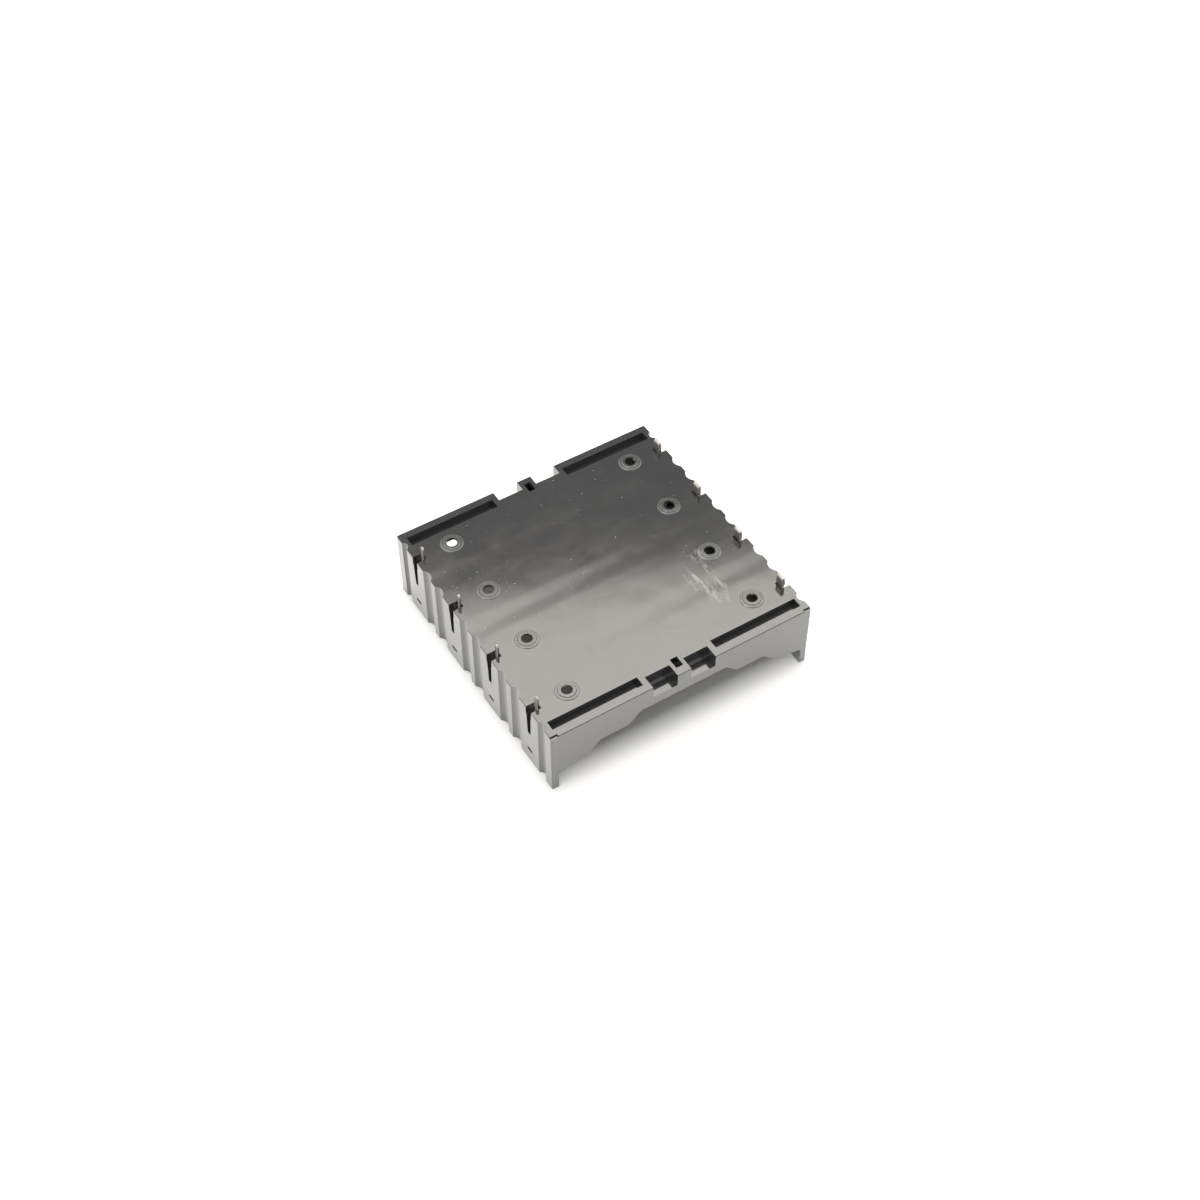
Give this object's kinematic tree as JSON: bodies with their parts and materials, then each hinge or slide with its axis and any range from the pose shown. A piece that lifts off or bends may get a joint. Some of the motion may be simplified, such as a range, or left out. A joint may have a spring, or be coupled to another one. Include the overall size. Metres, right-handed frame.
{
  "type": "battery cell holder",
  "caption": "Moulded tray that holds cylindrical cells side by side between leaf contacts, with a screw-down mounting plate and solder pins.",
  "frame": {"origin": "centre of the rectangle that the tray covers, in the plane of its rims", "axes": "+X along the cells, from the plain pins to the folded tags; +Y across the cells, towards the side wall with the keyed tab; +Z out of the mounting plate, the way the solder pins point"},
  "size_m": [0.0782, 0.0788, 0.0245],
  "materials": {
    "moulding": "gloss",
    "plated_strip": "satin"
  },
  "bodies": {
    "root": {"holder_body": "moulding", "left_contact_1": "plated_strip", "left_contact_2": "plated_strip", "left_contact_3": "plated_strip", "left_contact_4": "plated_strip", "right_contact_1": "plated_strip", "right_contact_2": "plated_strip", "right_contact_3": "plated_strip", "right_contact_4": "plated_strip"}
  },
  "joints": []
}
